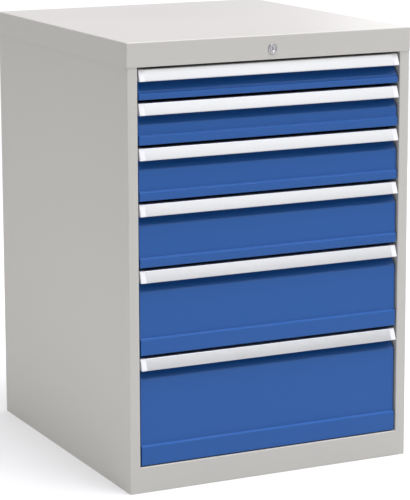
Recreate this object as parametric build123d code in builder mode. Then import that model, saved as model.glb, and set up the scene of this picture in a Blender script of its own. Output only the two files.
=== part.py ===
from build123d import *
import os
from math import cos, radians, sin

# Steel drawer cabinet, in millimetres. X runs to the right, Y to the back, Z up.
# The origin is the middle of the whole object's box, on the floor.

os.makedirs("parts", exist_ok=True)

# ---- Driving dimensions: casing ----
cabinet_width = 715  # across the rim of the top cover
casing_depth = 780  # front face to back face of the top cover
plinth_height = 60
cover_rim_height = 55
lintel_gap = 4  # between the top drawer's space and the cover rim
base_clearance = 1  # between the plinth and the bottom drawer's space
post_face = 26  # width of each front post as seen from the front
post_return = 36  # how far the post turns back beside the drawers
post_closing = 11  # last fold of the post, towards the side wall
rear_flange = 20
top_flange = 30
bottom_flange = 45
casing_sheet = 1.25
bend_radius = 2  # outer radius of the casing's folds
back_sheet = 1
back_clearance = 1  # keeps the back panel out of the side walls' folds
rail_flange = 38  # depth of the plinth rails' folds
rivet_radius = 2
rivet_head_radius = 3.8
rivet_head_height = 0.9
rivet_tail = 1.5
rivet_rows = 9
hole_clearance = 0.1
cover_edge_radius = 2.5
cover_corner_radius = 2

# ---- Driving dimensions: floor fixing ----
anchor_radius = 5.5
anchor_inset = 22  # from the side wall's outer face to the hole's middle
anchor_spacing = 500  # front hole to rear hole
access_radius = 15

# ---- Driving dimensions: stiffeners, uprights and cover screws ----
stiffener_height = 18.75
stiffener_width = 40
stiffener_lip = 12
stiffener_depths = [180, 600]  # middle of each, behind the front
stiffener_sheet = 1.5
screw_radius = 3
screw_head_radius = 5.5
screw_head_height = 4
screw_length = 9
upright_sheet = 2
upright_width = 40
upright_front_setback = 15  # behind the front ends of the fixed rails
upright_rear_setback = 3.5  # before the rear ends of the fixed rails
slot_pitch = 25
slot_height = 12
slot_width = 4

# ---- Driving dimensions: drawers, from the top one down ----
drawer_heights = [75, 100, 125, 150, 200, 250]
crease_heights = [15.5, 21.5, 21.5, 22, 38.5, 46.5]  # pressed line above the front's foot
side_gap = 4  # between a front and the post beside it
front_gap = 6  # between a front and the space of the drawer below
bottom_front_gap = 1.5  # the same at the lowest front, over the plinth
front_sheet = 1.25
front_bend = 1.6  # outer radius of the front's folds
grip_depth = 24  # how far the front stands back behind the handle
slope_top = 31  # below the drawer's top
slope_bottom = 50
face_depth = 8  # how far the flat face stands back
crease_step = 5.5  # how far the lower band comes forward
crease_rise = 2
band_lean = 1.5  # how far the lower band leans back at its foot

# ---- Driving dimensions: handle ----
handle_top_gap = 1.25
handle_height = 26.5
handle_proud = 3  # how far the lip stands in front of the casing
handle_slope_depth = 7  # how far the handle's upper edge stands back
handle_corner = 3
handle_wall = 1.8
handle_bead = 1.6
handle_leg = 10.5
handle_overhang = 1.25
cap_length = 13

# ---- Driving dimensions: tray ----
tray_sheet = 1
tray_bend = 1.5
tray_rear_space = 54.75  # from the tray's back to the casing's back face
tray_lift = 9  # above the foot of the drawer's space
tray_headroom = 12  # below the top of the drawer's space
tray_hem = 6
hem_lip = 4

# ---- Driving dimensions: runners ----
slide_width = 19  # from the tray's side to the upright
slide_height = 40
slide_sheet = 1.5
slide_lift = 24  # middle of the runner above the tray's floor
running_gap = 0.4
rail_front = 30  # front end of the fixed rail, behind the front
fixed_lip = 12
middle_reach = 13.1
drawer_reach = 13
middle_setback = 2
buffer_length = 8
buffer_height = 16
buffer_gap = 0.3

# ---- Driving dimensions: lock ----
lock_drop = 31  # below the cover's top face
lock_rim_radius = 11.5
lock_rim_height = 2.2
lock_barrel_radius = 9.3
lock_barrel_length = 24
lock_groove_radius = 8.9
lock_groove_width = 0.8
lock_groove_depth = 0.5
plug_radius = 6.5
plug_gap = 0.1
plug_recess = 0.5
plug_length = 28
key_slot_width = 2
key_slot_height = 7.5
key_slot_depth = 18
tail_size = 6
tail_length = 8
tail_gap = 0.05
nut_across_flats = 24
nut_height = 4
shaft_radius = 4
sleeve_radius = 6
sleeve_length = 14
crank_throw = 8.5
crank_thickness = 4
crank_hub_radius = 7
crank_eye_radius = 5
crank_pin_radius = 2.5
crank_start = -45  # degrees above the level, at rest
crank_to_bar = 6.5
pin_end = 1.5
bearing_width = 20
bearing_length = 12
bearing_drop = 6
bearing_gap = 0.2

# ---- Driving dimensions: locking bar ----
bar_width = 20
bar_thickness = 4
bar_to_back = 10
bar_top_over_slot = 10
bar_below_arm = 27
bar_slot_gap = 0.4
guide_wall = 4
guide_height = 16
guide_gap = 0.3
catch_width = 16
catch_length = 14
catch_thickness = 2
catch_drop = 6  # the catch's shelf below the tray's edge
catch_lip = 12
tooth_width = 5
tooth_thickness = 6
tooth_to_lip = 2.25
tooth_height = 12
tooth_gap = 2
arm_height = 8

# ---- Worked out from the sizes above ----
drawer_count = len(drawer_heights)
drawers = range(drawer_count)
drawer_tops = [
    plinth_height + base_clearance + sum(drawer_heights[i:]) for i in drawers
]
drawer_feet = [drawer_tops[i] - drawer_heights[i] for i in drawers]
rim_bottom = drawer_tops[0] + lintel_gap
cabinet_height = rim_bottom + cover_rim_height
cover_under = cabinet_height - casing_sheet
body_top = cover_under - stiffener_height

front_y = (handle_proud - casing_depth) / 2  # the casing's front face

wall_x = cabinet_width / 2 - casing_sheet  # outer face of the side wall
wall_inside = wall_x - casing_sheet
opening_x = cabinet_width / 2 - post_face  # the post's face beside the drawers
post_depth = casing_sheet  # the posts' front face, behind the cover's rim
post_edge = opening_x + bend_radius
rear_depth = casing_depth - casing_sheet
panel_depth = rear_depth - casing_sheet - back_sheet
rear_edge = wall_x - rear_flange

front_half = opening_x - side_gap
sheet_depth = grip_depth + front_sheet  # the tray's front wall starts here
tray_half = opening_x - slide_width
tray_back = casing_depth - tray_rear_space
tray_length = tray_back - sheet_depth
tray_edges = [top - tray_headroom for top in drawer_tops]
tray_floors = [foot + tray_lift for foot in drawer_feet]
slide_middles = [floor + slide_lift for floor in tray_floors]
fixed_back = tray_back + buffer_gap + buffer_length  # rear ends of the fixed rails
upright_depths = [
    rail_front + upright_front_setback,
    fixed_back - upright_rear_setback - upright_width,
]

lock_z = cabinet_height - lock_drop
bar_back = panel_depth - bar_to_back
bar_front = bar_back - bar_thickness
crank_back = bar_front - crank_to_bar
crank_front = crank_back - crank_thickness
pin_x = crank_throw * cos(radians(crank_start))
pin_z = lock_z + crank_throw * sin(radians(crank_start))
bar_x = (pin_x + crank_throw) / 2
arm_tops = [
    edge - catch_drop - catch_thickness - catch_lip - tooth_gap - tooth_height
    for edge in tray_edges
]
bar_bottom = arm_tops[-1] - arm_height - bar_below_arm
bar_top = pin_z + bar_top_over_slot
guide_heights = [drawer_tops[0], drawer_tops[2], drawer_tops[-1]]
lip_depth = tray_back + catch_length - catch_thickness
tooth_depth = lip_depth - tooth_to_lip - tooth_thickness


def depth(distance):
    """Y of a point a given distance behind the casing's front face."""
    return front_y + distance


def cross_plane(distance):
    """Upright plane across the cabinet, looked at from the front; extrusion comes forward."""
    return Plane(origin=(0, depth(distance), 0), x_dir=(1, 0, 0), z_dir=(0, -1, 0))


def folded_sheet(points, thickness, radius, side):
    """Section of a folded sheet whose outer skin follows the points."""
    with BuildSketch() as section:
        with BuildLine():
            FilletPolyline(*points, radius=radius)
            offset(amount=thickness, side=side)
        make_face()
    return section.sketch


def block(x_range, depth_range, z_range):
    """Box between given X, distances behind the front, and Z."""
    return Pos(
        sum(x_range) / 2, depth(sum(depth_range) / 2), sum(z_range) / 2
    ) * Box(
        abs(x_range[1] - x_range[0]),
        abs(depth_range[1] - depth_range[0]),
        abs(z_range[1] - z_range[0]),
        mode=Mode.PRIVATE,
    )


def save(piece, label):
    """Label a finished piece and write its file."""
    piece.label = label
    export_step(piece, f"parts/{label}.step")


# ---- Side panels: one folded sheet each, from the post's fold to the rear flange ----
def side_panel(hand):
    """Side wall with front post, rear flange, and the top and bottom flanges; hand is -1 for the left."""
    skin = [
        (hand * (opening_x + post_closing), depth(post_depth + post_return)),
        (hand * opening_x, depth(post_depth + post_return)),
        (hand * opening_x, depth(post_depth)),
        (hand * wall_x, depth(post_depth)),
        (hand * wall_x, depth(rear_depth)),
        (hand * rear_edge, depth(rear_depth)),
    ]
    inward = Side.LEFT if hand > 0 else Side.RIGHT
    with BuildPart() as panel:
        with BuildSketch():
            add(folded_sheet(skin, casing_sheet, bend_radius, inward))
        extrude(amount=body_top)
        # the post has no return beside the plinth, so the plinth rail butts flush against it
        add(
            block(
                (hand * (opening_x - bend_radius), hand * post_edge),
                (0, post_depth + post_return + casing_sheet),
                (0, plinth_height),
            ),
            mode=Mode.SUBTRACT,
        )
        add(
            block(
                (hand * (opening_x - bend_radius), hand * (wall_inside - bend_radius)),
                (post_depth + casing_sheet, post_depth + post_return + casing_sheet),
                (0, plinth_height),
            ),
            mode=Mode.SUBTRACT,
        )
        flange_depths = (
            post_depth + rail_flange + casing_sheet,
            rear_depth - rail_flange - casing_sheet,
        )
        add(
            block(
                (hand * (wall_x - bottom_flange), hand * wall_inside),
                flange_depths,
                (0, casing_sheet),
            )
        )
        add(
            block(
                (hand * (wall_x - top_flange), hand * wall_inside),
                (
                    post_depth + post_return + bend_radius,
                    panel_depth - bend_radius,
                ),
                (body_top - casing_sheet, body_top),
            )
        )
        # floor-fixing holes
        with BuildSketch(Plane.XY):
            with Locations((hand * (wall_x - anchor_inset), depth(casing_depth / 2))):
                with GridLocations(anchor_spacing, anchor_spacing, 1, 2):
                    Circle(anchor_radius)
        extrude(amount=casing_sheet, mode=Mode.SUBTRACT)
        # holes for the cover's screws
        with BuildSketch(Plane.XY.offset(body_top)):
            with Locations(*[(hand * screw_x, depth(d)) for d in stiffener_depths]):
                Circle(screw_radius + hole_clearance)
        extrude(amount=-casing_sheet, mode=Mode.SUBTRACT)
        # rivet holes of the back panel
        with BuildSketch(cross_plane(rear_depth)):
            with Locations(*[(hand * rivet_x, z) for z in rivet_heights]):
                Circle(rivet_radius + hole_clearance)
        extrude(amount=casing_sheet, mode=Mode.SUBTRACT)
    return panel.part


screw_x = wall_x - top_flange / 2
rivet_x = wall_x - rear_flange / 2 - casing_sheet
rivet_span = body_top - plinth_height
rivet_heights = [
    plinth_height + rivet_span * (row + 0.5) / rivet_rows for row in range(rivet_rows)
]
save(side_panel(-1), "side_panel_left")
save(side_panel(1), "side_panel_right")

# ---- Back panel: flat sheet riveted behind the drawers ----
with BuildPart() as back_panel:
    with BuildSketch(cross_plane(panel_depth + back_sheet)):
        with Locations((0, (plinth_height + cover_under) / 2)):
            Rectangle(2 * (wall_inside - back_clearance), cover_under - plinth_height)
        with Locations(*[(s * rivet_x, z) for s in (-1, 1) for z in rivet_heights]):
            Circle(rivet_radius + hole_clearance, mode=Mode.SUBTRACT)
    extrude(amount=back_sheet)
save(back_panel.part, "back_panel")

with BuildPart() as back_rivets:
    with BuildSketch(cross_plane(rear_depth)):
        with Locations(*[(s * rivet_x, z) for s in (-1, 1) for z in rivet_heights]):
            Circle(rivet_radius)
    extrude(amount=casing_sheet + back_sheet + rivet_tail)
    with BuildSketch(cross_plane(rear_depth)):
        with Locations(*[(s * rivet_x, z) for s in (-1, 1) for z in rivet_heights]):
            Circle(rivet_head_radius)
    extrude(amount=-rivet_head_height)
    fillet(
        back_rivets.faces().group_by(Axis.Y)[-1].edges(), radius=rivet_head_height / 2
    )
save(back_rivets.part, "back_rivets")


# ---- Plinth rails: channels that close the base at the front and the back ----
def plinth_rail(half_width, face, inward):
    """Channel on its side: an upright face, and flanges at its top and foot going inward."""
    skin = [
        (depth(face + inward * rail_flange), 0),
        (depth(face), 0),
        (depth(face), plinth_height),
        (depth(face + inward * rail_flange), plinth_height),
    ]
    with BuildPart() as rail:
        with BuildSketch(Plane.YZ.offset(-half_width)):
            add(
                folded_sheet(
                    skin,
                    casing_sheet,
                    bend_radius,
                    Side.RIGHT if inward > 0 else Side.LEFT,
                )
            )
        extrude(amount=2 * half_width)
    return rail.part


save(plinth_rail(post_edge, post_depth, 1), "plinth_front")
save(plinth_rail(rear_edge, rear_depth, -1), "plinth_rear")

# ---- Floor plate: lies between the plinth rails, with a flange down each side wall ----
with BuildPart() as floor_plate:
    floor_front = post_depth + rail_flange
    floor_back = rear_depth - rail_flange
    with BuildSketch(cross_plane(floor_back)):
        add(
            folded_sheet(
                [
                    (-wall_inside, plinth_height - rear_flange),
                    (-wall_inside, plinth_height),
                    (wall_inside, plinth_height),
                    (wall_inside, plinth_height - rear_flange),
                ],
                casing_sheet,
                bend_radius,
                Side.RIGHT,
            )
        )
    extrude(amount=floor_back - floor_front)
    # openings over the floor-fixing holes, for a socket spanner
    with BuildSketch(Plane.XY.offset(plinth_height)):
        with Locations((0, depth(casing_depth / 2))):
            with GridLocations(2 * (wall_x - anchor_inset), anchor_spacing, 2, 2):
                Circle(access_radius)
    extrude(amount=-casing_sheet, mode=Mode.SUBTRACT)
save(floor_plate.part, "floor_plate")

# ---- Lintel: channel between the posts, behind the cover's front rim ----
with BuildPart() as front_lintel:
    with BuildSketch(Plane.YZ.offset(-opening_x)):
        add(
            folded_sheet(
                [
                    (depth(post_depth + post_return), rim_bottom),
                    (depth(post_depth), rim_bottom),
                    (depth(post_depth), cover_under),
                    (depth(post_depth + post_return), cover_under),
                ],
                casing_sheet,
                bend_radius,
                Side.RIGHT,
            )
        )
    extrude(amount=2 * opening_x)
    with BuildSketch(cross_plane(post_depth + casing_sheet)):
        with Locations((0, lock_z)):
            Circle(lock_barrel_radius + hole_clearance)
    extrude(amount=casing_sheet, mode=Mode.SUBTRACT)
save(front_lintel.part, "front_lintel")

# ---- Top cover: pan that slips over the casing; its front rim carries the lock ----
with BuildPart() as top_cover:
    with BuildSketch(Plane.XY.offset(rim_bottom)):
        with Locations((0, depth(casing_depth / 2))):
            RectangleRounded(cabinet_width, casing_depth, cover_corner_radius)
    extrude(amount=cover_rim_height)
    fillet(top_cover.faces().sort_by(Axis.Z)[-1].edges(), radius=cover_edge_radius)
    with BuildSketch(Plane.XY.offset(rim_bottom)):
        with Locations((0, depth(casing_depth / 2))):
            RectangleRounded(
                cabinet_width - 2 * casing_sheet,
                casing_depth - 2 * casing_sheet,
                cover_corner_radius - casing_sheet,
            )
    extrude(amount=cover_rim_height - casing_sheet, mode=Mode.SUBTRACT)
    with BuildSketch(cross_plane(casing_sheet)):
        with Locations((0, lock_z)):
            Circle(lock_barrel_radius + hole_clearance)
    extrude(amount=casing_sheet, mode=Mode.SUBTRACT)
save(top_cover.part, "top_cover")

# ---- Cover stiffeners: hat sections that carry the cover on the side walls ----
with BuildPart() as cover_stiffeners:
    for middle in stiffener_depths:
        half = stiffener_width / 2
        lip_under = cover_under - stiffener_sheet
        with BuildSketch(Plane.YZ.offset(-wall_inside)):
            add(
                folded_sheet(
                    [
                        (depth(middle - half - stiffener_lip), lip_under),
                        (depth(middle - half), lip_under),
                        (depth(middle - half), body_top),
                        (depth(middle + half), body_top),
                        (depth(middle + half), lip_under),
                        (depth(middle + half + stiffener_lip), lip_under),
                    ],
                    stiffener_sheet,
                    stiffener_sheet + hole_clearance,
                    Side.LEFT,
                )
            )
        extrude(amount=2 * wall_inside)
    with BuildSketch(Plane.XY.offset(body_top)):
        with Locations(
            *[(s * screw_x, depth(d)) for s in (-1, 1) for d in stiffener_depths]
        ):
            Circle(screw_radius + hole_clearance)
    extrude(amount=stiffener_sheet, mode=Mode.SUBTRACT)
save(cover_stiffeners.part, "cover_stiffeners")

with BuildPart() as cover_screws:
    head_top = body_top - casing_sheet
    with BuildSketch(Plane.XY.offset(head_top)):
        with Locations(
            *[(s * screw_x, depth(d)) for s in (-1, 1) for d in stiffener_depths]
        ):
            RegularPolygon(screw_head_radius, 6)
    extrude(amount=-screw_head_height)
    with BuildSketch(Plane.XY.offset(head_top)):
        with Locations(
            *[(s * screw_x, depth(d)) for s in (-1, 1) for d in stiffener_depths]
        ):
            Circle(screw_radius)
    extrude(amount=screw_length)
save(cover_screws.part, "cover_screws")

# ---- Slotted uprights: four channels on the side walls, which the runners hang on ----
upright_height = body_top - casing_sheet - plinth_height
slot_count = int(upright_height // slot_pitch) - 1
with BuildPart() as slotted_uprights:
    for hand in (-1, 1):
        for start in upright_depths:
            with BuildSketch(Plane.XY.offset(plinth_height)):
                with Locations(
                    (
                        hand * (opening_x + wall_inside) / 2,
                        depth(start + upright_width / 2),
                    )
                ):
                    Rectangle(wall_inside - opening_x, upright_width)
                with Locations(
                    (
                        hand * (opening_x + upright_sheet + wall_inside) / 2,
                        depth(start + upright_width / 2),
                    )
                ):
                    Rectangle(
                        wall_inside - opening_x - upright_sheet,
                        upright_width - 2 * upright_sheet,
                        mode=Mode.SUBTRACT,
                    )
            extrude(amount=upright_height)
    with BuildSketch(Plane.YZ.offset(-opening_x - upright_sheet)):
        for start in upright_depths:
            with Locations(
                (
                    depth(start + upright_width / 2),
                    plinth_height + upright_height / 2,
                )
            ):
                with GridLocations(0, slot_pitch, 1, slot_count):
                    Rectangle(slot_width, slot_height)
    extrude(amount=2 * (opening_x + upright_sheet), mode=Mode.SUBTRACT)
save(slotted_uprights.part, "slotted_uprights")


# ---- Runners: three nested channels a side, for each drawer ----
def channel_section(web_x, lip_x, middle_z, half_height, hand):
    """C section with its web at one X and its lips reaching to another."""
    with BuildSketch() as section:
        with Locations((hand * (web_x + lip_x) / 2, middle_z)):
            Rectangle(abs(web_x - lip_x), 2 * half_height)
        inner_x = web_x + (slide_sheet if lip_x > web_x else -slide_sheet)
        with Locations((hand * (inner_x + lip_x) / 2, middle_z)):
            Rectangle(
                abs(inner_x - lip_x),
                2 * (half_height - slide_sheet),
                mode=Mode.SUBTRACT,
            )
    return section.sketch


nesting_step = slide_sheet + running_gap
fixed_half = slide_height / 2
middle_half = fixed_half - nesting_step
drawer_half = middle_half - nesting_step
middle_web_x = opening_x - nesting_step

with BuildPart() as cabinet_rails:
    with BuildSketch(cross_plane(fixed_back)):
        for middle in slide_middles:
            for hand in (-1, 1):
                add(
                    channel_section(
                        opening_x, opening_x - fixed_lip, middle, fixed_half, hand
                    )
                )
    extrude(amount=fixed_back - rail_front)
save(cabinet_rails.part, "cabinet_rails")

with BuildPart() as rail_buffers:
    buffer_width = opening_x - slide_sheet - tray_half - slide_sheet
    with BuildSketch(cross_plane(fixed_back)):
        for middle in slide_middles:
            for hand in (-1, 1):
                with Locations(
                    (hand * (opening_x - slide_sheet - buffer_width / 2), middle)
                ):
                    Rectangle(buffer_width, buffer_height)
    extrude(amount=buffer_length)
save(rail_buffers.part, "rail_buffers")


def middle_rails(i):
    """Pair of middle members, nested in the fixed rails of one drawer."""
    with BuildPart() as rails:
        with BuildSketch(cross_plane(tray_back)):
            for hand in (-1, 1):
                add(
                    channel_section(
                        middle_web_x,
                        middle_web_x - middle_reach,
                        slide_middles[i],
                        middle_half,
                        hand,
                    )
                )
        extrude(amount=tray_back - rail_front - middle_setback)
    return rails.part


def drawer_rails(i):
    """Pair of drawer members, fixed to the tray's sides and nested in the middle members."""
    with BuildPart() as rails:
        with BuildSketch(cross_plane(tray_back)):
            for hand in (-1, 1):
                add(
                    channel_section(
                        tray_half,
                        tray_half + drawer_reach,
                        slide_middles[i],
                        drawer_half,
                        hand,
                    )
                )
        extrude(amount=tray_back - rail_front)
    return rails.part


# ---- Drawer: tray, front, handle and the handle's end caps ----
def tray(i):
    """Folded tray with hemmed side walls and end walls."""
    floor = tray_floors[i]
    edge = tray_edges[i]
    inner_half = tray_half - tray_sheet
    with BuildPart() as body:
        with BuildSketch(cross_plane(tray_back)):
            add(
                folded_sheet(
                    [
                        (-tray_half - tray_hem, edge - hem_lip),
                        (-tray_half - tray_hem, edge),
                        (-tray_half, edge),
                        (-tray_half, floor),
                        (tray_half, floor),
                        (tray_half, edge),
                        (tray_half + tray_hem, edge),
                        (tray_half + tray_hem, edge - hem_lip),
                    ],
                    tray_sheet,
                    tray_bend,
                    Side.LEFT,
                )
            )
        extrude(amount=tray_length)
        for end in (sheet_depth + tray_sheet, tray_back):
            with BuildSketch(cross_plane(end)):
                with Locations((0, (floor + edge) / 2)):
                    Rectangle(2 * inner_half, edge - floor)
            extrude(amount=tray_sheet)
    return body.part


def catch(i):
    """Bent plate welded behind a tray: a shelf, and the lip that the locking bar's tooth holds."""
    shelf_top = tray_edges[i] - catch_drop
    shelf_foot = shelf_top - catch_thickness
    x_range = (bar_x - catch_width / 2, bar_x + catch_width / 2)
    with BuildPart() as plate:
        add(block(x_range, (tray_back, tray_back + catch_length), (shelf_foot, shelf_top)))
        add(
            block(
                x_range,
                (lip_depth, lip_depth + catch_thickness),
                (shelf_foot - catch_lip, shelf_top),
            )
        )
    return plate.part


def front_skin(i):
    """Outer line of a drawer's front, from under the handle down to the fold at its foot."""
    top = drawer_tops[i]
    gap = bottom_front_gap if i == drawer_count - 1 else front_gap
    foot = drawer_feet[i] + gap
    crease = foot + crease_heights[i]
    band_depth = face_depth - crease_step
    return [
        (depth(grip_depth), top - handle_top_gap - handle_wall),
        (depth(grip_depth), top - slope_top),
        (depth(face_depth), top - slope_bottom),
        (depth(face_depth), crease),
        (depth(band_depth), crease - crease_rise),
        (depth(band_depth + band_lean), foot),
        (depth(sheet_depth), foot),
    ]


def front(i):
    """Painted front: folded sheet with a closed plate at each end."""
    skin = front_skin(i)
    with BuildPart() as panel:
        with BuildSketch(Plane.YZ.offset(-front_half)):
            add(folded_sheet(skin, front_sheet, front_bend, Side.LEFT))
        extrude(amount=2 * front_half)
        for start in (-front_half, front_half - front_sheet):
            with BuildSketch(Plane.YZ.offset(start)):
                with BuildLine():
                    line = FilletPolyline(*skin, radius=front_bend)
                    Polyline(line @ 1, (depth(sheet_depth), skin[0][1]), line @ 0)
                make_face()
            extrude(amount=front_sheet)
    return panel.part


def handle_line(i):
    """Outer line of the grip, from its lip up and back over the front's upper edge."""
    top = drawer_tops[i] - handle_top_gap
    return [
        (depth(-handle_proud), top - handle_height + handle_bead),
        (depth(handle_slope_depth), top),
        (depth(sheet_depth + handle_overhang), top),
    ]


def handle(i):
    """Extruded aluminium grip: sloping face with a beaded lip, top web and a rear leg."""
    top = drawer_tops[i] - handle_top_gap
    length = 2 * (front_half - cap_length)
    with BuildPart() as grip:
        with BuildSketch(Plane.YZ.offset(-length / 2)):
            add(folded_sheet(handle_line(i), handle_wall, handle_corner, Side.RIGHT))
            with Locations(
                (depth(handle_bead - handle_proud), top - handle_height + handle_bead)
            ):
                Circle(handle_bead)
            with Locations(
                (depth(grip_depth - handle_wall / 2), top - (handle_wall + handle_leg) / 2)
            ):
                Rectangle(handle_wall, handle_wall + handle_leg)
        extrude(amount=length)
    return grip.part


def handle_caps(i):
    """Moulded cap at each end of the grip, closed at its side."""
    top = drawer_tops[i] - handle_top_gap
    lip = top - handle_height
    skin = handle_line(i)
    with BuildPart() as caps:
        for start in (-front_half, front_half - cap_length):
            with BuildSketch(Plane.YZ.offset(start)):
                with BuildLine():
                    line = FilletPolyline(*skin, radius=handle_corner)
                    Polyline(
                        line @ 1,
                        (depth(sheet_depth + handle_overhang), top - handle_wall),
                        (depth(grip_depth), top - handle_wall),
                        (depth(grip_depth), top - handle_wall - handle_leg),
                        (depth(handle_slope_depth), lip),
                        (depth(handle_bead - handle_proud), lip),
                        line @ 0,
                    )
                make_face()
            extrude(amount=cap_length)
    return caps.part


for i in drawers:
    number = i + 1
    save(middle_rails(i), f"middle_rails_{number}")
    save(drawer_rails(i), f"drawer_rails_{number}")
    save(Compound([*tray(i).solids(), *catch(i).solids()]), f"tray_{number}")
    save(front(i), f"front_{number}")
    save(handle(i), f"handle_{number}")
    save(handle_caps(i), f"handle_caps_{number}")

# ---- Lock cylinder: rimmed housing in the cover's front, its nut, and the turning plug ----
with BuildPart() as lock_housing:
    with BuildSketch(cross_plane(lock_barrel_length)):
        with Locations((0, lock_z)):
            Circle(lock_barrel_radius)
    extrude(amount=lock_barrel_length)
    with BuildSketch(cross_plane(0)):
        with Locations((0, lock_z)):
            Circle(lock_rim_radius)
    extrude(amount=lock_rim_height)
    fillet(
        lock_housing.faces().sort_by(Axis.Y)[0].edges(), radius=lock_rim_height / 3
    )
    with BuildSketch(cross_plane(-lock_rim_height + lock_groove_depth)):
        with Locations((0, lock_z)):
            Circle(lock_groove_radius)
            Circle(lock_groove_radius - lock_groove_width, mode=Mode.SUBTRACT)
    extrude(amount=lock_groove_depth, mode=Mode.SUBTRACT)
    with BuildSketch(cross_plane(lock_barrel_length)):
        with Locations((0, lock_z)):
            Circle(plug_radius + plug_gap)
    extrude(amount=lock_barrel_length + lock_rim_height, mode=Mode.SUBTRACT)
save(lock_housing.part, "lock_housing")

with BuildPart() as lock_nut:
    with BuildSketch(cross_plane(post_depth + casing_sheet + nut_height)):
        with Locations((0, lock_z)):
            RegularPolygon(nut_across_flats / 2, 6, major_radius=False)
            Circle(lock_barrel_radius + hole_clearance, mode=Mode.SUBTRACT)
    extrude(amount=nut_height)
save(lock_nut.part, "lock_nut")

plug_front = plug_recess - lock_rim_height
plug_back = plug_front + plug_length
with BuildPart() as lock_plug:
    with BuildSketch(cross_plane(plug_back)):
        with Locations((0, lock_z)):
            Circle(plug_radius)
    extrude(amount=plug_length)
    with BuildSketch(cross_plane(plug_front + key_slot_depth)):
        with Locations((0, lock_z)):
            Rectangle(key_slot_width, key_slot_height)
    extrude(amount=key_slot_depth, mode=Mode.SUBTRACT)
    with BuildSketch(cross_plane(plug_back + tail_length)):
        with Locations((0, lock_z)):
            Rectangle(tail_size, tail_size)
    extrude(amount=tail_length)
save(lock_plug.part, "lock_plug")

# ---- Lock shaft and crank: carry the key's turn to the back of the cabinet ----
with BuildPart() as lock_shaft:
    with BuildSketch(cross_plane(crank_front)):
        with Locations((0, lock_z)):
            Circle(shaft_radius)
    extrude(amount=crank_front - plug_back)
    with BuildSketch(cross_plane(plug_back + sleeve_length)):
        with Locations((0, lock_z)):
            Circle(sleeve_radius)
    extrude(amount=sleeve_length)
    with BuildSketch(cross_plane(plug_back + tail_length)):
        with Locations((0, lock_z)):
            Rectangle(tail_size + 2 * tail_gap, tail_size + 2 * tail_gap)
    extrude(amount=tail_length, mode=Mode.SUBTRACT)
    with BuildSketch(cross_plane(crank_back)):
        with Locations((0, lock_z)):
            Rectangle(shaft_radius, shaft_radius)
    extrude(amount=crank_thickness)
save(lock_shaft.part, "lock_shaft")

with BuildPart() as lock_crank:
    with BuildSketch(cross_plane(crank_back)):
        with Locations((0, lock_z)):
            Circle(crank_hub_radius)
        with Locations((pin_x, pin_z)):
            Circle(crank_eye_radius)
        make_hull()
        with Locations((0, lock_z)):
            Rectangle(
                shaft_radius + 2 * tail_gap,
                shaft_radius + 2 * tail_gap,
                mode=Mode.SUBTRACT,
            )
    extrude(amount=crank_thickness)
    with BuildSketch(cross_plane(bar_back + pin_end)):
        with Locations((pin_x, pin_z)):
            Circle(crank_pin_radius)
    extrude(amount=bar_back + pin_end - crank_back)
save(lock_crank.part, "lock_crank")

# ---- Shaft bearing: moulded saddle under the rear stiffener ----
bearing_depth = stiffener_depths[-1]
with BuildPart() as shaft_bearing:
    with BuildSketch(cross_plane(bearing_depth + bearing_length / 2)):
        bearing_foot = lock_z - shaft_radius - bearing_drop
        with Locations((0, (bearing_foot + body_top) / 2)):
            Rectangle(bearing_width, body_top - bearing_foot)
        with Locations((0, lock_z)):
            Circle(shaft_radius + bearing_gap, mode=Mode.SUBTRACT)
    extrude(amount=bearing_length)
save(shaft_bearing.part, "shaft_bearing")

# ---- Locking bar: flat bar that the crank's pin lifts behind the drawers ----
with BuildPart() as lock_bar:
    with BuildSketch(cross_plane(bar_back)):
        with Locations((bar_x, (bar_bottom + bar_top) / 2)):
            Rectangle(bar_width, bar_top - bar_bottom)
        with Locations((bar_x, pin_z)):
            SlotCenterToCenter(
                crank_throw - pin_x,
                2 * (crank_pin_radius + bar_slot_gap),
                mode=Mode.SUBTRACT,
            )
    extrude(amount=bar_thickness)
save(lock_bar.part, "lock_bar")

# ---- Teeth: hooks welded to the bar; with the bar up, each stands before a tray's catch ----
with BuildPart() as bar_teeth:
    tooth_x = (bar_x - tooth_width / 2, bar_x + tooth_width / 2)
    for arm_top in arm_tops:
        add(block(tooth_x, (tooth_depth, bar_front), (arm_top - arm_height, arm_top)))
        add(
            block(
                tooth_x,
                (tooth_depth, tooth_depth + tooth_thickness),
                (arm_top - arm_height, arm_top + tooth_height),
            )
        )
save(bar_teeth.part, "bar_teeth")

# ---- Bar guides: moulded blocks on the back panel that the bar slides in ----
with BuildPart() as bar_guides:
    for height in guide_heights:
        with BuildSketch(Plane.XY.offset(height - guide_height / 2)):
            guide_depth = bar_to_back + bar_thickness + guide_gap + guide_wall
            with Locations((bar_x, depth(panel_depth - guide_depth / 2))):
                Rectangle(bar_width + 2 * (guide_gap + guide_wall), guide_depth)
            with Locations((bar_x, depth(bar_back - bar_thickness / 2))):
                Rectangle(
                    bar_width + 2 * guide_gap,
                    bar_thickness + 2 * guide_gap,
                    mode=Mode.SUBTRACT,
                )
        extrude(amount=guide_height)
save(bar_guides.part, "bar_guides")
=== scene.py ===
import math

import bmesh
import bpy
from mathutils import Euler, Matrix, Vector


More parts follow.
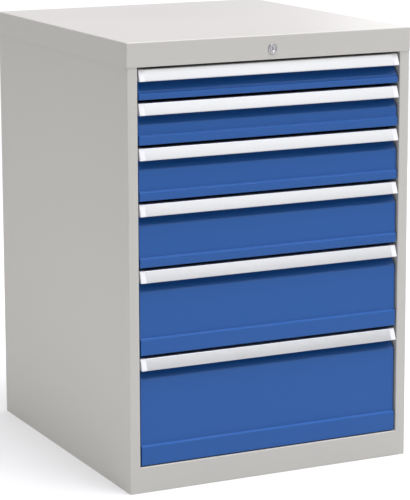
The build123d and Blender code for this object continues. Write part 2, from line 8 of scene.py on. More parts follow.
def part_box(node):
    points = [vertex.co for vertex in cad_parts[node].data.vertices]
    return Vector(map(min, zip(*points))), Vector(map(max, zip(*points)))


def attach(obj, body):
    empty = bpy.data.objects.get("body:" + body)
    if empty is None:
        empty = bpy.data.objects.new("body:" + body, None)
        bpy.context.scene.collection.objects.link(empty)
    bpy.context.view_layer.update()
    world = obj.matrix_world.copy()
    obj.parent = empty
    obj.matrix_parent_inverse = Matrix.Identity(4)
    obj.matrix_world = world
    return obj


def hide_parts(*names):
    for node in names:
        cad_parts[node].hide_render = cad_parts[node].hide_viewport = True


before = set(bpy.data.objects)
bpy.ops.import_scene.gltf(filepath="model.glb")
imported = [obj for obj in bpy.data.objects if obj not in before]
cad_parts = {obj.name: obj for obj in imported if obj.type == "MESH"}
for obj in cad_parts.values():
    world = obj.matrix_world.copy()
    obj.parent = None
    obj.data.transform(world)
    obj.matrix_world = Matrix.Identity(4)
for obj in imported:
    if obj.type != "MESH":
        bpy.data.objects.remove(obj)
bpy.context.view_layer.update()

# ---- Side panels: the walls that carry everything ----
# Each is one sheet of 1.25 mm steel, folded into the front post, the rear flange and the flanges at
# its top and foot, then powder-coated light grey. The other pieces are welded or riveted to them.
class Value:
    """A node's output that takes part in plain arithmetic; each operation adds its Math node."""

    def __init__(self, tree, output):
        self.tree = tree
        self.output = output

    def work_out(self, operation, *terms):
        node = self.tree.nodes.new("ShaderNodeMath")
        node.operation = operation
        for socket, term in zip(node.inputs, terms):
            feed(self.tree, socket, term)
        return Value(self.tree, node.outputs[0])

    def __add__(self, other):
        return self.work_out("ADD", self, other)

    def __radd__(self, other):
        return self.work_out("ADD", other, self)

    def __sub__(self, other):
        return self.work_out("SUBTRACT", self, other)

    def __rsub__(self, other):
        return self.work_out("SUBTRACT", other, self)

    def __mul__(self, other):
        return self.work_out("MULTIPLY", self, other)

    def __rmul__(self, other):
        return self.work_out("MULTIPLY", other, self)


def feed(tree, socket, value):
    """Links a node's output to a socket, or sets the socket to a plain value."""
    if isinstance(value, Value):
        tree.links.new(value.output, socket)
    else:
        socket.default_value = value


def socket_of(sockets, name):
    """The enabled socket of a name, since some nodes hold several of one name."""
    return next(s for s in sockets if s.name == name and s.enabled)


def add_node(tree, kind, settings=None, output=0, **inputs):
    """Adds a node: its settings first, then the values or links of its sockets."""
    made = tree.nodes.new(kind)
    for name, value in (settings or {}).items():
        setattr(made, name, value)
    for name, value in inputs.items():
        feed(tree, socket_of(made.inputs, name.replace("_", " ")), value)
    if isinstance(output, str):
        return Value(tree, socket_of(made.outputs, output))
    return Value(tree, made.outputs[output])


class Finish:
    """A material in the making."""

    def __init__(self, name, **constants):
        self.material = bpy.data.materials.new(name)
        self.material.use_nodes = True
        self.tree = self.material.node_tree
        self.shader = self.tree.nodes["Principled BSDF"]
        for socket, value in constants.items():
            self.set(socket.replace("_", " "), value)

    def set(self, socket, value):
        """Sets or links one socket of the surface shader."""
        feed(self.tree, self.shader.inputs[socket], value)

    def node(self, kind, settings=None, output=0, **inputs):
        """Adds a shader node to this material."""
        return add_node(self.tree, "ShaderNode" + kind, settings, output, **inputs)

    def place(self, scale=(1.0, 1.0, 1.0)):
        """Position on the piece, in metres, stretched by a scale along each axis."""
        where = self.node("TexCoord", output="Object")
        return self.node("Mapping", Vector=where, Scale=scale)

    def noise(self, where, scale, detail=2.0):
        """Even cloudy noise from 0 to 1."""
        return self.node("TexNoise", Vector=where, Scale=scale, Detail=detail)

    def tint(self, mask, dark, light):
        """Colour that goes from dark to light with a mask."""
        ends = {"A": (*dark, 1.0), "B": (*light, 1.0)}
        return self.node("Mix", {"data_type": "RGBA"}, output="Result", Factor=mask, **ends)

    def relief(self, height, distance):
        """Fine relief of the surface, in metres."""
        bump = self.node("Bump", Height=height, Distance=distance, Strength=0.3)
        self.set("Normal", bump)


def mesh_object(name, mesh):
    """A piece at the origin, with its place in its mesh."""
    made = bpy.data.objects.new(name, mesh)
    bpy.context.collection.objects.link(made)
    return made


weld_distance = 1e-6


def finish_mesh(name, shape, smooth_angle, material=None):
    """Mesh from a bmesh: doubles merged, faces outwards, and smooth up to an angle."""
    bmesh.ops.remove_doubles(shape, verts=shape.verts, dist=weld_distance)
    bmesh.ops.recalc_face_normals(shape, faces=shape.faces)
    mesh = bpy.data.meshes.new(name)
    shape.to_mesh(mesh)
    shape.free()
    if material:
        mesh.materials.append(material)
    mesh.shade_smooth()
    mesh.set_sharp_from_angle(angle=math.radians(smooth_angle))
    return mesh


def settled_mesh(piece, name):
    """Gives a piece the plain mesh of its evaluated self and takes its modifiers off."""
    evaluated = piece.evaluated_get(bpy.context.evaluated_depsgraph_get())
    mesh = bpy.data.meshes.new_from_object(evaluated)
    piece.modifiers.clear()
    spare = piece.data
    piece.data = mesh
    bpy.data.meshes.remove(spare)
    mesh.name = name


flat_angle = math.radians(0.5)
least_fold_angle = math.radians(12)
least_fold_length = 0.02
least_flange_width = 0.004


def is_fold(edge):
    """Whether an edge is an outer fold between two broad faces of the sheet."""
    length = edge.calc_length()
    if len(edge.link_faces) != 2 or length < least_fold_length:
        return False
    if edge.calc_face_angle_signed() < least_fold_angle:
        return False
    return all(face.calc_area() / length > least_flange_width for face in edge.link_faces)


def rounded(shape, edges, offset, segments):
    """Rounds some edges of a bmesh."""
    bmesh.ops.bevel(
        shape, geom=edges, offset=offset, segments=segments, affect="EDGES", clamp_overlap=True
    )


def folded_sheet(name, node, material, bend_radius=0.0016):
    """Copy of a packed sheet piece with its outer folds rounded, standing for that piece."""
    shape = bmesh.new()
    shape.from_mesh(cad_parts[node].data)
    bmesh.ops.remove_doubles(shape, verts=shape.verts, dist=weld_distance)
    bmesh.ops.dissolve_limit(shape, angle_limit=flat_angle, verts=shape.verts, edges=shape.edges)
    rounded(shape, [edge for edge in shape.edges if is_fold(edge)], bend_radius, segments=4)
    piece = mesh_object(name, finish_mesh(name, shape, smooth_angle=30, material=material))
    piece.modifiers.new("even_shading", "WEIGHTED_NORMAL").keep_sharp = True
    settled_mesh(piece, name)
    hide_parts(node)
    return piece


def shade(colour, factor):
    """A colour made lighter or darker."""
    return tuple(min(1.0, channel * factor) for channel in colour)


def powder_coat(name, colour, roughness, peel_size, gloss):
    """Baked powder paint: a fine orange-peel relief and a faint unevenness of the film."""
    paint = Finish(name, Specular_IOR_Level=gloss)
    where = paint.place()
    peel = paint.noise(where, scale=1.0 / peel_size, detail=1.5)
    grain = paint.noise(where, scale=6.0 / peel_size, detail=1.0)
    film = paint.noise(where, scale=2.2)
    paint.set("Base Color", paint.tint(film, shade(colour, 0.98), shade(colour, 1.02)))
    paint.set("Roughness", roughness + (film - 0.5) * 0.08 + (peel - 0.5) * 0.06)
    paint.relief(peel * 0.8 + grain * 0.2, distance=0.0001)
    return paint.material


casing_colour = (0.478, 0.472, 0.437)
casing_paint = powder_coat(
    "casing_paint", casing_colour, roughness=0.45, peel_size=0.0025, gloss=0.35
)
for side in ("left", "right"):
    wall = folded_sheet(f"side_wall_{side}", f"side_panel_{side}", casing_paint)
    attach(wall, "cabinet")


# ---- Plinth rails and floor plate: the base ----
# Two channels of the same sheet close the base at the front and the back, and a plate lies between
# them, with round openings for the spanner that tightens the floor anchors. All are welded in.
def dress(material, *nodes):
    """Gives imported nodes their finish."""
    for node in nodes:
        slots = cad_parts[node].data.materials
        slots.clear()
        slots.append(material)


for end in ("front", "rear"):
    rail = folded_sheet(f"plinth_channel_{end}", f"plinth_{end}", casing_paint)
    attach(rail, "cabinet")
dress(casing_paint, "floor_plate")


# ---- Back panel and its rivets ----
# A flat steel sheet, powder-coated with the casing, stands in front of the walls' rear flanges.
# Eighteen blind rivets of zinc-plated steel hold it; each has a domed head with a dimple.
def zinc_plate(name):
    """Zinc-plated steel: a faint crystalline cast in colour and gloss."""
    metal = Finish(name, Metallic=0.9)
    where = metal.place()
    crystals = metal.node("TexVoronoi", output="Distance", Vector=where, Scale=140.0)
    cloud = metal.noise(where, scale=18.0, detail=3.0)
    mask = cloud * 0.6 + crystals * 0.4
    colour = metal.tint(mask, dark=(0.50, 0.51, 0.52), light=(0.70, 0.71, 0.71))
    metal.set("Base Color", colour)
    metal.set("Roughness", 0.36 + (cloud - 0.5) * 0.2)
    return metal.material


def even_turns(steps):
    """Angles that share a full turn evenly."""
    return [2 * math.pi * step / steps for step in range(steps)]


def ring_of(shape, radius, height, angles):
    """Ring of points about Z."""
    return [
        shape.verts.new((radius * math.cos(angle), radius * math.sin(angle), height))
        for angle in angles
    ]


def join_rings(shape, rings):
    """Faces between neighbouring rings of points; a ring of one point is a pole."""
    for lower, upper in zip(rings, rings[1:]):
        count = max(len(lower), len(upper))
        for step in range(count):
            after = (step + 1) % count
            corners = []
            for ring, turns in ((lower, (step, after)), (upper, (after, step))):
                corners += [ring[0]] if len(ring) == 1 else [ring[turn] for turn in turns]
            shape.faces.new(corners)


def turned(profile, steps):
    """Bmesh of a turned shape about Z; the profile runs in radius and height from axis to axis."""
    shape = bmesh.new()
    angles = even_turns(steps)
    rings = []
    for radius, height in profile:
        if radius == 0.0:
            rings.append([shape.verts.new((0.0, 0.0, height))])
        else:
            rings.append(ring_of(shape, radius, height, angles))
    join_rings(shape, rings)
    return shape


def grown(name, tree, values):
    """Plain mesh of what a geometry tree makes, with the tree's named inputs set."""
    holder = mesh_object(name, bpy.data.meshes.new(name))
    modifier = holder.modifiers.new("build", "NODES")
    modifier.node_group = tree
    for item in tree.interface.items_tree:
        if item.item_type == "SOCKET" and item.in_out == "INPUT" and item.name in values:
            modifier[item.identifier] = values[item.name]
    settled_mesh(holder, name)
    return holder


def geometry_tree(name, inputs):
    """Empty geometry tree with named inputs; returns the tree and its inputs' outlets."""
    tree = bpy.data.node_groups.new(name, "GeometryNodeTree")
    tree.interface.new_socket("Geometry", in_out="INPUT", socket_type="NodeSocketGeometry")
    for label, kind in inputs.items():
        tree.interface.new_socket(label, in_out="INPUT", socket_type="NodeSocket" + kind)
    tree.interface.new_socket("Geometry", in_out="OUTPUT", socket_type="NodeSocketGeometry")
    source = tree.nodes.new("NodeGroupInput")
    outlets = {s.name: Value(tree, s) for s in source.outputs if s.name}
    return tree, outlets


def close_tree(tree, instances, material):
    """Ends a tree with its instances made real and given their material."""
    real = add_node(tree, "GeometryNodeRealizeInstances", Geometry=instances)
    coated = add_node(tree, "GeometryNodeSetMaterial", Geometry=real, Material=material)
    sink = tree.nodes.new("NodeGroupOutput")
    feed(tree, sink.inputs["Geometry"], coated)


def fastener_rows(name, material):
    """Tree that sets a fastener at the crossings of a grid, then turns and places the grid."""
    tree, given = geometry_tree(
        name,
        {
            "Fastener": "Object",
            "Across": "Float",
            "Along": "Float",
            "Columns": "Int",
            "Rows": "Int",
            "Turn": "Rotation",
            "Place": "Vector",
        },
    )
    grid = add_node(
        tree,
        "GeometryNodeMeshGrid",
        Size_X=given["Across"],
        Size_Y=given["Along"],
        Vertices_X=given["Columns"],
        Vertices_Y=given["Rows"],
    )
    fastener = add_node(
        tree, "GeometryNodeObjectInfo", output="Geometry", Object=given["Fastener"]
    )
    rows = add_node(tree, "GeometryNodeInstanceOnPoints", Points=grid, Instance=fastener)
    placed = add_node(
        tree,
        "GeometryNodeTransform",
        Geometry=rows,
        Translation=given["Place"],
        Rotation=given["Turn"],
    )
    close_tree(tree, placed, material)
    return tree


zinc_steel = zinc_plate("zinc_steel")
dress(casing_paint, "back_panel")
rivet_low, rivet_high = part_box("back_rivets")
rivet_columns = 2
rivet_rows = 9
rivet_steps = 20
rivet_head_radius = 0.0038
rivet_head_height = 0.0009
rivet_shank_radius = 0.002
rivet_tail_radius = rivet_shank_radius * 0.8
rivet_bulb_radius = 0.00255
rivet_bulb_top_radius = rivet_bulb_radius * 0.97
rivet_bulb_low = 0.0006
rivet_bulb_top = 0.0011
rivet_bulb_end = 0.0015
rivet_dome_step = 12
rivet_dimple_radius = 0.0012
rivet_dimple_depth = 0.0004
rivet_dimple_rim = rivet_head_height * 0.95
rivet_dimple_floor = rivet_head_height - rivet_dimple_depth
rivet_dimple_floor_radius = rivet_dimple_radius * 0.8
rivet_length = rivet_high.y - rivet_low.y - rivet_head_height
rivet_dome = [
    (rivet_head_radius * math.sin(turn), rivet_head_height * math.cos(turn))
    for turn in [math.radians(90 - rivet_dome_step * step) for step in range(6)]
]
rivet_profile = [
    (0.0, -rivet_length),
    (rivet_tail_radius, -rivet_length),
    (rivet_bulb_radius, -rivet_length + rivet_bulb_low),
    (rivet_bulb_top_radius, -rivet_length + rivet_bulb_top),
    (rivet_shank_radius, -rivet_length + rivet_bulb_end),
    (rivet_shank_radius, 0.0),
    *rivet_dome,
    (rivet_dimple_radius, rivet_dimple_rim),
    (rivet_dimple_floor_radius, rivet_dimple_floor),
    (0.0, rivet_dimple_floor),
]
rivet_mesh = finish_mesh("rivet", turned(rivet_profile, rivet_steps), smooth_angle=40)
rivet = mesh_object("rivet", rivet_mesh)
back_rivets = grown(
    "blind_rivets",
    fastener_rows("rivet_rows", zinc_steel),
    {
        "Fastener": rivet,
        "Across": rivet_high.x - rivet_low.x - 2 * rivet_head_radius,
        "Along": rivet_high.z - rivet_low.z - 2 * rivet_head_radius,
        "Columns": rivet_columns,
        "Rows": rivet_rows,
        "Turn": Euler((-math.pi / 2, 0.0, 0.0)),
        "Place": (0.0, rivet_high.y - rivet_head_height, (rivet_high.z + rivet_low.z) / 2),
    },
)
bpy.data.objects.remove(rivet)
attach(back_rivets, "cabinet")
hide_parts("back_rivets")

# ---- Lintel and cover stiffeners ----
# A channel joins the posts behind the cover's rim, and two hat sections lie across the walls.
# They are folded and coated like the casing; four zinc-plated screws hold the hats from below.
dress(casing_paint, "front_lintel", "cover_stiffeners")
screw_low, screw_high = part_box("cover_screws")
screw_columns = 2
screw_rows = 2
screw_steps = 24
screw_head_radius = 0.0055
screw_head_height = 0.004
screw_head_foot = 0.0004
screw_flange_height = 0.0008
screw_flange_radius = screw_head_radius * 0.97
screw_flange_top_radius = screw_head_radius * 0.94
screw_hexagon_radius = screw_head_radius * 0.86
screw_chamfer_radius = screw_head_radius * 0.74
screw_chamfer_height = screw_head_height * 0.88
screw_shank_radius = 0.003
screw_tip_radius = screw_shank_radius * 0.7
thread_groove = 0.86
thread_step = 0.0006
screw_length = screw_high.z - screw_low.z - screw_head_height


def screw_shape():
    """Hexagon screw with a flange and a shank with turned rings, its head upwards."""
    thread = [
        (
            screw_shank_radius * (1.0 if ring % 2 else thread_groove),
            -screw_length + thread_step * (ring + 1),
        )
        for ring in range(int(screw_length / thread_step) - 1)
    ]
    profile = [
        (0.0, -screw_length),
        (screw_tip_radius, -screw_length),
        *thread,
        (screw_shank_radius, 0.0),
        (screw_flange_radius, 0.0),
        (screw_flange_top_radius, screw_flange_height),
        (0.0, screw_flange_height),
    ]
    shape = turned(profile, screw_steps)
    hexagon = [
        (screw_hexagon_radius, screw_head_foot),
        (screw_hexagon_radius, screw_chamfer_height),
        (screw_chamfer_radius, screw_head_height),
    ]
    rings = [ring_of(shape, radius, height, even_turns(6)) for radius, height in hexagon]
    join_rings(shape, rings)
    shape.faces.new(rings[0])
    shape.faces.new(rings[-1])
    return shape


screw = mesh_object("screw", finish_mesh("screw", screw_shape(), smooth_angle=30))
cover_screws = grown(
    "hexagon_screws",
    fastener_rows("screw_rows", zinc_steel),
    {
        "Fastener": screw,
        "Across": screw_high.x - screw_low.x - 2 * screw_head_radius,
        "Along": screw_high.y - screw_low.y - 2 * screw_head_radius * math.cos(math.pi / 6),
        "Columns": screw_columns,
        "Rows": screw_rows,
        "Turn": Euler((math.pi, 0.0, 0.0)),
        "Place": (0.0, (screw_high.y + screw_low.y) / 2, screw_low.z + screw_head_height),
    },
)
bpy.data.objects.remove(screw)
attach(cover_screws, "cabinet")
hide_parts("cover_screws")

# ---- Slotted uprights and fixed runner members ----
# Four zinc-plated channels stand on the walls, with slots every 25 mm. The fixed members of the
# runners, cold-rolled from zinc-plated strip, hook into them at each drawer's height.
dress(zinc_steel, "slotted_uprights", "cabinet_rails")


# ---- Runner buffers ----
# A block of black rubber at the rear end of each fixed member softens the drawer's stop.
# It is moulded and pressed into the channel.
def moulded(name, colour, roughness):
    """Moulded plastic or rubber with a fine spark-eroded grain."""
    plastic = Finish(name)
    where = plastic.place()
    grain = plastic.noise(where, scale=1600.0, detail=1.0)
    cloud = plastic.noise(where, scale=30.0)
    plastic.set("Base Color", plastic.tint(cloud, shade(colour, 0.96), shade(colour, 1.04)))
    plastic.set("Roughness", roughness + (grain - 0.5) * 0.1)
    plastic.relief(grain, distance=0.00003)
    return plastic.material


buffer_rubber = moulded("buffer_rubber", (0.025, 0.025, 0.025), roughness=0.8)
dress(buffer_rubber, "rail_buffers")

# ---- Drawer trays ----
# Each tray is folded from 1 mm sheet with its side walls hemmed outwards, has welded end walls,
# and carries a bent catch behind. It is powder-coated light grey, a little matter than the casing.
drawer_numbers = range(1, 7)
tray_paint = powder_coat("tray_paint", casing_colour, roughness=0.5, peel_size=0.0025, gloss=0.35)
dress(tray_paint, *[f"tray_{n}" for n in drawer_numbers])

# ---- Sliding runner members ----
# The middle members and the drawer members nest in the fixed ones. They are rolled from the same
# zinc-plated strip and slide on each other; the inner pair is riveted to the tray's sides.
for n in drawer_numbers:
    dress(zinc_steel, f"middle_rails_{n}", f"drawer_rails_{n}")

# ---- Drawer fronts ----
# Folded steel sheet, powder-coated in a satin mid blue. The sheet slopes back under the handle
# for the fingers, and a pressed line runs along the lower edge. It is welded to the tray.
front_colour = (0.0045, 0.080, 0.305)
front_bend_radius = 0.0026
front_paint = powder_coat("front_paint", front_colour, roughness=0.40, peel_size=0.0022, gloss=0.4)
for n in drawer_numbers:
    face = folded_sheet(f"drawer_face_{n}", f"front_{n}", front_paint, front_bend_radius)
    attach(face, f"drawer_{n}")


# ---- Handles ----
# A full-width aluminium extrusion on each front: a face that leans back, a beaded lip for the
# fingers, a top web over the sheet and a leg behind it. It is anodised satin and riveted on.
def satin_aluminium(name):
    """Anodised extrusion: fine lines along X, with a soft satin sheen."""
    metal = Finish(name, Metallic=0.75)
    lines = metal.noise(metal.place(scale=(3.0, 900.0, 900.0)), scale=1.0, detail=3.0)
    cloud = metal.noise(metal.place(), scale=9.0)
    colour = metal.tint(cloud, dark=(0.57, 0.58, 0.59), light=(0.61, 0.62, 0.625))
    metal.set("Base Color", colour)
    metal.set("Roughness", 0.40 + (lines - 0.5) * 0.12 + (cloud - 0.5) * 0.05)
    metal.relief(lines, distance=0.00004)
    return metal.material


def arc(centre, radius, start, end, steps):
    """Points on an arc, with angles in degrees."""
    angles = [math.radians(start + (end - start) * step / steps) for step in range(steps + 1)]
    return [
        Vector((centre[0] + radius * math.cos(angle), centre[1] + radius * math.sin(angle)))
        for angle in angles
    ]


def along_x(outline, x_places):
    """Bmesh of a closed outline in Y and Z carried along X, with its ends closed."""
    shape = bmesh.new()
    rings = [[shape.verts.new((x, y, z)) for y, z in outline] for x in x_places]
    join_rings(shape, rings)
    shape.faces.new(rings[0])
    shape.faces.new(rings[-1])
    return shape


handle_aluminium = satin_aluminium("handle_aluminium")
handle_wall = 0.0018
handle_bead = 0.0016
handle_lean = 0.010
handle_corner = 0.003
handle_leg_back = 0.0025
handle_leg = 0.0105
grip_lengths = 8


def leaning_face(low, high):
    """The handle's face: the bead's centre, its direction, outward side, lean and top corner."""
    bead = Vector((low.y + handle_bead, low.z + handle_bead))
    head = Vector((low.y + handle_lean, high.z))
    direction = (head - bead + Vector((handle_bead, 0.0))).normalized()
    outward = Vector((-direction.y, direction.x))
    lean = math.degrees(math.atan2(direction.y, direction.x))
    start = bead + outward * handle_bead
    corner = start + direction * ((high.z - start.y) / direction.y)
    back_off = handle_corner * math.tan(math.radians(lean / 2))
    corner_centre = (corner.x + back_off, high.z - handle_corner)
    return bead, direction, outward, lean, corner_centre


def grip_outline(low, high):
    """Section of the handle, in Y and Z."""
    bead, direction, outward, lean, corner_centre = leaning_face(low, high)
    under = high.z - handle_wall
    leg_back = high.y - handle_leg_back
    inner_foot = bead - outward * (handle_wall - handle_bead) + direction * handle_bead
    return [
        *arc(bead, handle_bead, lean + 90, lean + 250, steps=14),
        inner_foot,
        *arc(corner_centre, handle_corner - handle_wall, lean + 90, 90, steps=6),
        Vector((leg_back - handle_wall, under)),
        Vector((leg_back - handle_wall, under - handle_leg)),
        Vector((leg_back, under - handle_leg)),
        Vector((leg_back, under)),
        Vector((high.y, under)),
        Vector((high.y, high.z)),
        *arc(corner_centre, handle_corner, 90, lean + 90, steps=10),
    ]


for n in drawer_numbers:
    low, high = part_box(f"handle_{n}")
    places = [low.x + (high.x - low.x) * step / grip_lengths for step in range(grip_lengths + 1)]
    shape = along_x(grip_outline(low, high), places)
    mesh = finish_mesh(f"grip_{n}", shape, smooth_angle=35, material=handle_aluminium)
    grip = mesh_object(f"grip_{n}", mesh)
    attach(grip, f"drawer_{n}")
    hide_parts(f"handle_{n}")

# ---- Handle end caps ----
# A cap of light grey plastic closes each end of the handle. It is injection-moulded with soft
# edges, follows the handle's section, and is pushed onto the extrusion with a fine joint.
cap_plastic = moulded("cap_plastic", (0.70, 0.71, 0.72), roughness=0.4)
cap_length = 0.013
cap_edge = 0.0007
cap_joint = 0.00015


def cap_outline(low, high):
    """Section of a cap, in Y and Z: the handle's section filled in."""
    bead, _, _, lean, corner_centre = leaning_face(low, high)
    under = high.z - handle_wall
    leg_back = high.y - handle_leg_back
    return [
        *arc(bead, handle_bead, lean + 90, 270, steps=10),
        Vector((low.y + handle_lean, low.z)),
        Vector((leg_back, under - handle_leg)),
        Vector((leg_back, under)),
        Vector((high.y, under)),
        Vector((high.y, high.z)),
        *arc(corner_centre, handle_corner, 90, lean + 90, steps=10),
    ]


def add_cap(shape, outline, outer, inner):
    """Adds one cap between two places along X, with its outer edges rounded."""
    cap = along_x(outline, [outer, inner])
    bmesh.ops.recalc_face_normals(cap, faces=cap.faces)
    at_end = {vert for vert in cap.verts if abs(vert.co.x - outer) < weld_distance}
    end_edges = [edge for edge in cap.edges if at_end.issuperset(edge.verts)]
    rounded(cap, end_edges, cap_edge, segments=3)
    half = bpy.data.meshes.new("half")
    cap.to_mesh(half)
    cap.free()
    shape.from_mesh(half)
    bpy.data.meshes.remove(half)


for n in drawer_numbers:
    low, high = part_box(f"handle_caps_{n}")
    outline = cap_outline(low, high)
    shape = bmesh.new()
    add_cap(shape, outline, low.x, low.x + cap_length - cap_joint)
    add_cap(shape, outline, high.x, high.x - cap_length + cap_joint)
    mesh = finish_mesh(f"grip_caps_{n}", shape, smooth_angle=40, material=cap_plastic)
    caps = mesh_object(f"grip_caps_{n}", mesh)
    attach(caps, f"drawer_{n}")
    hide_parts(f"handle_caps_{n}")

# ---- Top cover ----
# One folded pan of the casing's sheet, with welded and ground corners, slips over the walls.
# Its 55 mm rim shows all round, and the lock sits in the middle of the front.
cover_pan = folded_sheet("cover_pan", "top_cover", casing_paint)
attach(cover_pan, "cabinet")


# ---- Lock cylinder ----
# A turned, chrome-plated brass housing with a raised rim and a fine ring cut in its face, held by
# a nut behind the lintel. The plug in it has a slot for a flat key.
def polished_chrome(name):
    """Polished chrome plate over a turned surface."""
    metal = Finish(name, Metallic=1.0)
    cloud = metal.noise(metal.place(), scale=120.0)
    colour = metal.tint(cloud, dark=(0.45, 0.455, 0.46), light=(0.51, 0.515, 0.52))
    metal.set("Base Color", colour)
    metal.set("Roughness", 0.18 + (cloud - 0.5) * 0.06)
    return metal.material


def faced_front(shape, y_front, z_middle):
    """Brings a shape's axis from Z to the front, and sets its face in place."""
    turn = Matrix.Rotation(math.pi / 2, 4, "X")
    placed = Matrix.Translation((0.0, y_front, z_middle)) @ turn
    bmesh.ops.transform(shape, matrix=placed, verts=shape.verts)
    return shape


chrome = polished_chrome("chrome")
housing_low, housing_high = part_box("lock_housing")
lock_z = (housing_low.z + housing_high.z) / 2
lock_smooth_angle = 35
housing_steps = 64
housing_length = housing_high.y - housing_low.y
rim_radius = (housing_high.z - housing_low.z) / 2
rim_height = 0.0022
rim_edge = 0.0008
barrel_radius = 0.0093
ring_radius = 0.0089
ring_width = 0.0011
ring_slope = ring_width * 0.2
ring_depth = 0.0009
bore_radius = 0.0066
bore_edge = 0.0003
rim_arc = arc((rim_radius - rim_edge, -rim_edge), rim_edge, 0, 90, steps=5)
housing_profile = [
    (bore_radius, -housing_length),
    (barrel_radius, -housing_length),
    (barrel_radius, -rim_height),
    (rim_radius, -rim_height),
    *[(point.x, point.y) for point in rim_arc],
    (ring_radius, 0.0),
    (ring_radius - ring_slope, -ring_depth),
    (ring_radius - ring_width + ring_slope, -ring_depth),
    (ring_radius - ring_width, 0.0),
    (bore_radius + bore_edge, 0.0),
    (bore_radius, -bore_edge),
    (bore_radius, -housing_length),
]
housing_shape = faced_front(turned(housing_profile, housing_steps), housing_low.y, lock_z)
housing = mesh_object(
    "cylinder_housing",
    finish_mesh("cylinder_housing", housing_shape, lock_smooth_angle, chrome),
)
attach(housing, "cabinet")
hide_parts("lock_housing")
dress(zinc_steel, "lock_nut")

plug_low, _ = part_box("lock_plug")
plug_steps = 48
plug_radius = 0.0065
plug_edge = 0.0004
plug_length = 0.028
key_half_width = 0.001
key_half_height = 0.00375
key_lead = 0.0004
key_depth = 0.018
key_corner = math.atan2(key_half_height, key_half_width)
key_corners = [key_corner, math.pi - key_corner, math.pi + key_corner, 2 * math.pi - key_corner]
plug_angles = sorted(even_turns(plug_steps) + key_corners)


def slot_ring(shape, half_width, half_height, depth):
    """Ring of points round the key's slot, one for each angle of the plug."""
    ring = []
    for angle in plug_angles:
        across = abs(math.cos(angle)) / half_width
        along = abs(math.sin(angle)) / half_height
        ring += ring_of(shape, 1.0 / max(across, along), depth, [angle])
    return ring


plug_shape = bmesh.new()
plug_rings = [
    ring_of(plug_shape, plug_radius, -plug_length, plug_angles),
    ring_of(plug_shape, plug_radius, -plug_edge, plug_angles),
    ring_of(plug_shape, plug_radius - plug_edge, 0.0, plug_angles),
    slot_ring(plug_shape, key_half_width + key_lead, key_half_height + key_lead, 0.0),
    slot_ring(plug_shape, key_half_width, key_half_height, -key_lead),
    slot_ring(plug_shape, key_half_width, key_half_height, -key_depth),
]
join_rings(plug_shape, plug_rings)
plug_shape.faces.new(plug_rings[0])
plug_shape.faces.new(plug_rings[-1])
faced_front(plug_shape, plug_low.y, lock_z)
plug = mesh_object("key_plug", finish_mesh("key_plug", plug_shape, lock_smooth_angle, chrome))
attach(plug, "lock")
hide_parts("lock_plug")

# ---- Lock shaft, crank and bearing ----
# A zinc-plated steel shaft carries the key's turn to the back, where a crank with a pin drives
# the locking bar. A saddle of black moulded plastic under the rear hat section carries it.
guide_plastic = moulded("guide_plastic", (0.03, 0.03, 0.032), roughness=0.5)
dress(zinc_steel, "lock_shaft", "lock_crank")
dress(guide_plastic, "shaft_bearing")

# ---- Locking bar ----
# A flat zinc-plated bar with a welded hook for each drawer. It slides up and down in three black
# moulded guides on the back panel.
dress(zinc_steel, "lock_bar", "bar_teeth")
dress(guide_plastic, "bar_guides")

# ---- Studio: camera, soft light and floor ----
# The camera stands left of the front and looks slightly down on the cover. The floor is one wide
# pale sheet under a white sky. A broad light comes from overhead, with large soft boxes at the
# front right and the rear right and a small one low on the left.
camera_data = bpy.data.cameras.new("camera")
camera_data.lens = 160.91
camera_data.shift_y = -0.1
camera_data.clip_end = 300.0
camera = bpy.data.objects.new("camera", camera_data)
camera.location = (-2.3097, -4.794, 1.5659)
camera_yaw = math.radians(25.911)
camera_pitch = math.radians(-10.49)
camera_roll = math.radians(-0.184)
camera.rotation_mode = "QUATERNION"
camera.rotation_quaternion = (
    Euler((math.pi / 2 + camera_pitch, 0.0, -camera_yaw), "XYZ").to_quaternion()
    @ Euler((0.0, 0.0, camera_roll), "XYZ").to_quaternion()
)
bpy.context.collection.objects.link(camera)
bpy.context.scene.camera = camera
bpy.context.scene.view_settings.view_transform = "Standard"


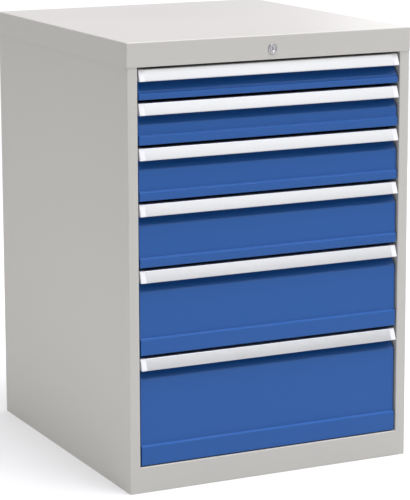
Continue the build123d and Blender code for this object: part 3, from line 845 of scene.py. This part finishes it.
def lamp(name, kind, place, target, strength, **settings):
    """A lamp at a place, facing a target."""
    data = bpy.data.lights.new(name, kind)
    data.energy = strength
    for setting, value in settings.items():
        setattr(data, setting, value)
    made = bpy.data.objects.new(name, data)
    made.location = place
    made.rotation_mode = "QUATERNION"
    made.rotation_quaternion = (Vector(target) - Vector(place)).to_track_quat("-Z", "Y")
    bpy.context.collection.objects.link(made)


def soft_box(name, place, target, strength, size):
    """A lamp with a rectangular face, in metres and watts."""
    lamp(name, "AREA", place, target, strength, shape="RECTANGLE", size=size[0], size_y=size[1])


lamp(
    "overhead_light",
    "SUN",
    (0.3, -0.5, 3.0),
    (0.0, 0.0, 0.0),
    strength=5.1,
    angle=math.radians(50),
    color=(1.0, 0.98, 1.06),
)
soft_box("front_soft_box", (2.2, -3.6, 3.6), (0.0, -0.3, 0.6), strength=58.0, size=(3.4, 3.0))
soft_box("far_soft_box", (3.1, 2.3, 1.3), (0.0, 0.0, 0.4), strength=38.0, size=(2.6, 2.0))
soft_box("side_soft_box", (-1.55, -0.2, 0.14), (-0.35, -0.1, 0.1), strength=3.2, size=(1.2, 0.2))

sky_strength = 0.15
added_when_seen = 0.9
white = (1.0, 1.0, 1.0, 1.0)
sky = bpy.data.worlds.new("studio_sky")
sky.use_nodes = True
sky_shader = sky.node_tree.nodes["Background"]
seen_directly = add_node(sky.node_tree, "ShaderNodeLightPath", output="Is Camera Ray")
feed(sky.node_tree, sky_shader.inputs["Strength"], sky_strength + seen_directly * added_when_seen)
sky_shader.inputs["Color"].default_value = white
bpy.context.scene.world = sky

floor_half = 70.0
floor_mesh = bpy.data.meshes.new("studio_floor")
floor_mesh.from_pydata(
    [(x * floor_half, y * floor_half, 0.0) for x, y in ((-1, -1), (1, -1), (1, 1), (-1, 1))],
    [],
    [(0, 1, 2, 3)],
)
studio_floor = mesh_object("studio_floor", floor_mesh)
floor_finish = Finish("floor_finish", Roughness=0.8)
floor_cloud = floor_finish.noise(floor_finish.place(), scale=0.6)
floor_dark = (0.475, 0.475, 0.462)
floor_light = (0.495, 0.495, 0.482)
floor_finish.set("Base Color", floor_finish.tint(floor_cloud, floor_dark, floor_light))
floor_finish.set("Emission Color", white)
floor_finish.set("Emission Strength", 0.27)
floor_mesh.materials.append(floor_finish.material)
